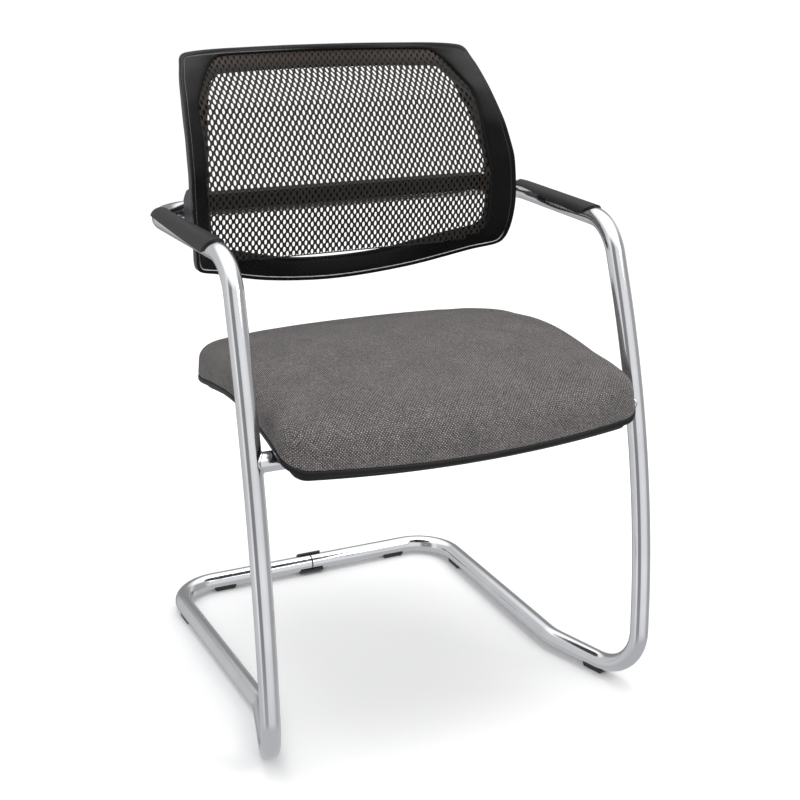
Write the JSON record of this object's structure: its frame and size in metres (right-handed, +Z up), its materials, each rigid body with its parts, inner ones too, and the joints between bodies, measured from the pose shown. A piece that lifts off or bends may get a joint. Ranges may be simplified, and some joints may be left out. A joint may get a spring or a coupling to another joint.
{
  "type": "sled base visitor chair",
  "caption": "Visitor chair on a bent tube sled base that springs from the front, with tube arms, a padded seat and a mesh back in a ring frame.",
  "frame": {"origin": "middle of the chair's outer box, on the floor", "axes": "+Z up, -Y is the front of the seat, +X is the right arm seen from the front"},
  "size_m": [0.5748, 0.5974, 0.8528],
  "materials": {
    "chrome_tube": "bright plated tube",
    "black_plastic": "satin moulded, fine grain",
    "grey_plastic": "matte moulded, fine grain",
    "upholstery": "coarse melange weave",
    "mesh_cloth": "knitted open mesh",
    "plywood": "raw plywood",
    "zinc_steel": "zinc plated"
  },
  "bodies": {
    "root": {"frame_tube_right": "chrome_tube", "frame_tube_left": "chrome_tube", "floor_joint_sleeve": "zinc_steel", "top_joint_sleeve": "zinc_steel", "floor_joint_ring": "black_plastic", "floor_joint_clip": "black_plastic", "joint_screws": "zinc_steel", "glide_front_left": "black_plastic", "glide_front_right": "black_plastic", "glide_rail_left": "black_plastic", "glide_rail_right": "black_plastic", "glide_rear_left": "black_plastic", "glide_rear_right": "black_plastic", "seat_cross_tube": "chrome_tube", "seat_rail_left": "chrome_tube", "seat_rail_right": "chrome_tube", "seat_rear_tie": "chrome_tube", "seat_bolts": "zinc_steel", "seat_tee_nuts": "zinc_steel", "seat_shell": "black_plastic", "seat_board": "plywood", "seat_cushion": "upholstery", "arm_pad_right": "black_plastic", "arm_pad_left": "black_plastic", "back_bolts": "zinc_steel", "carrier_screws": "zinc_steel", "bezel_screws": "zinc_steel", "back_bezel": "black_plastic", "back_rear_frame": "grey_plastic", "back_carrier": "grey_plastic", "back_spacer_left": "black_plastic", "back_spacer_right": "black_plastic", "back_mesh": "mesh_cloth"}
  },
  "joints": []
}
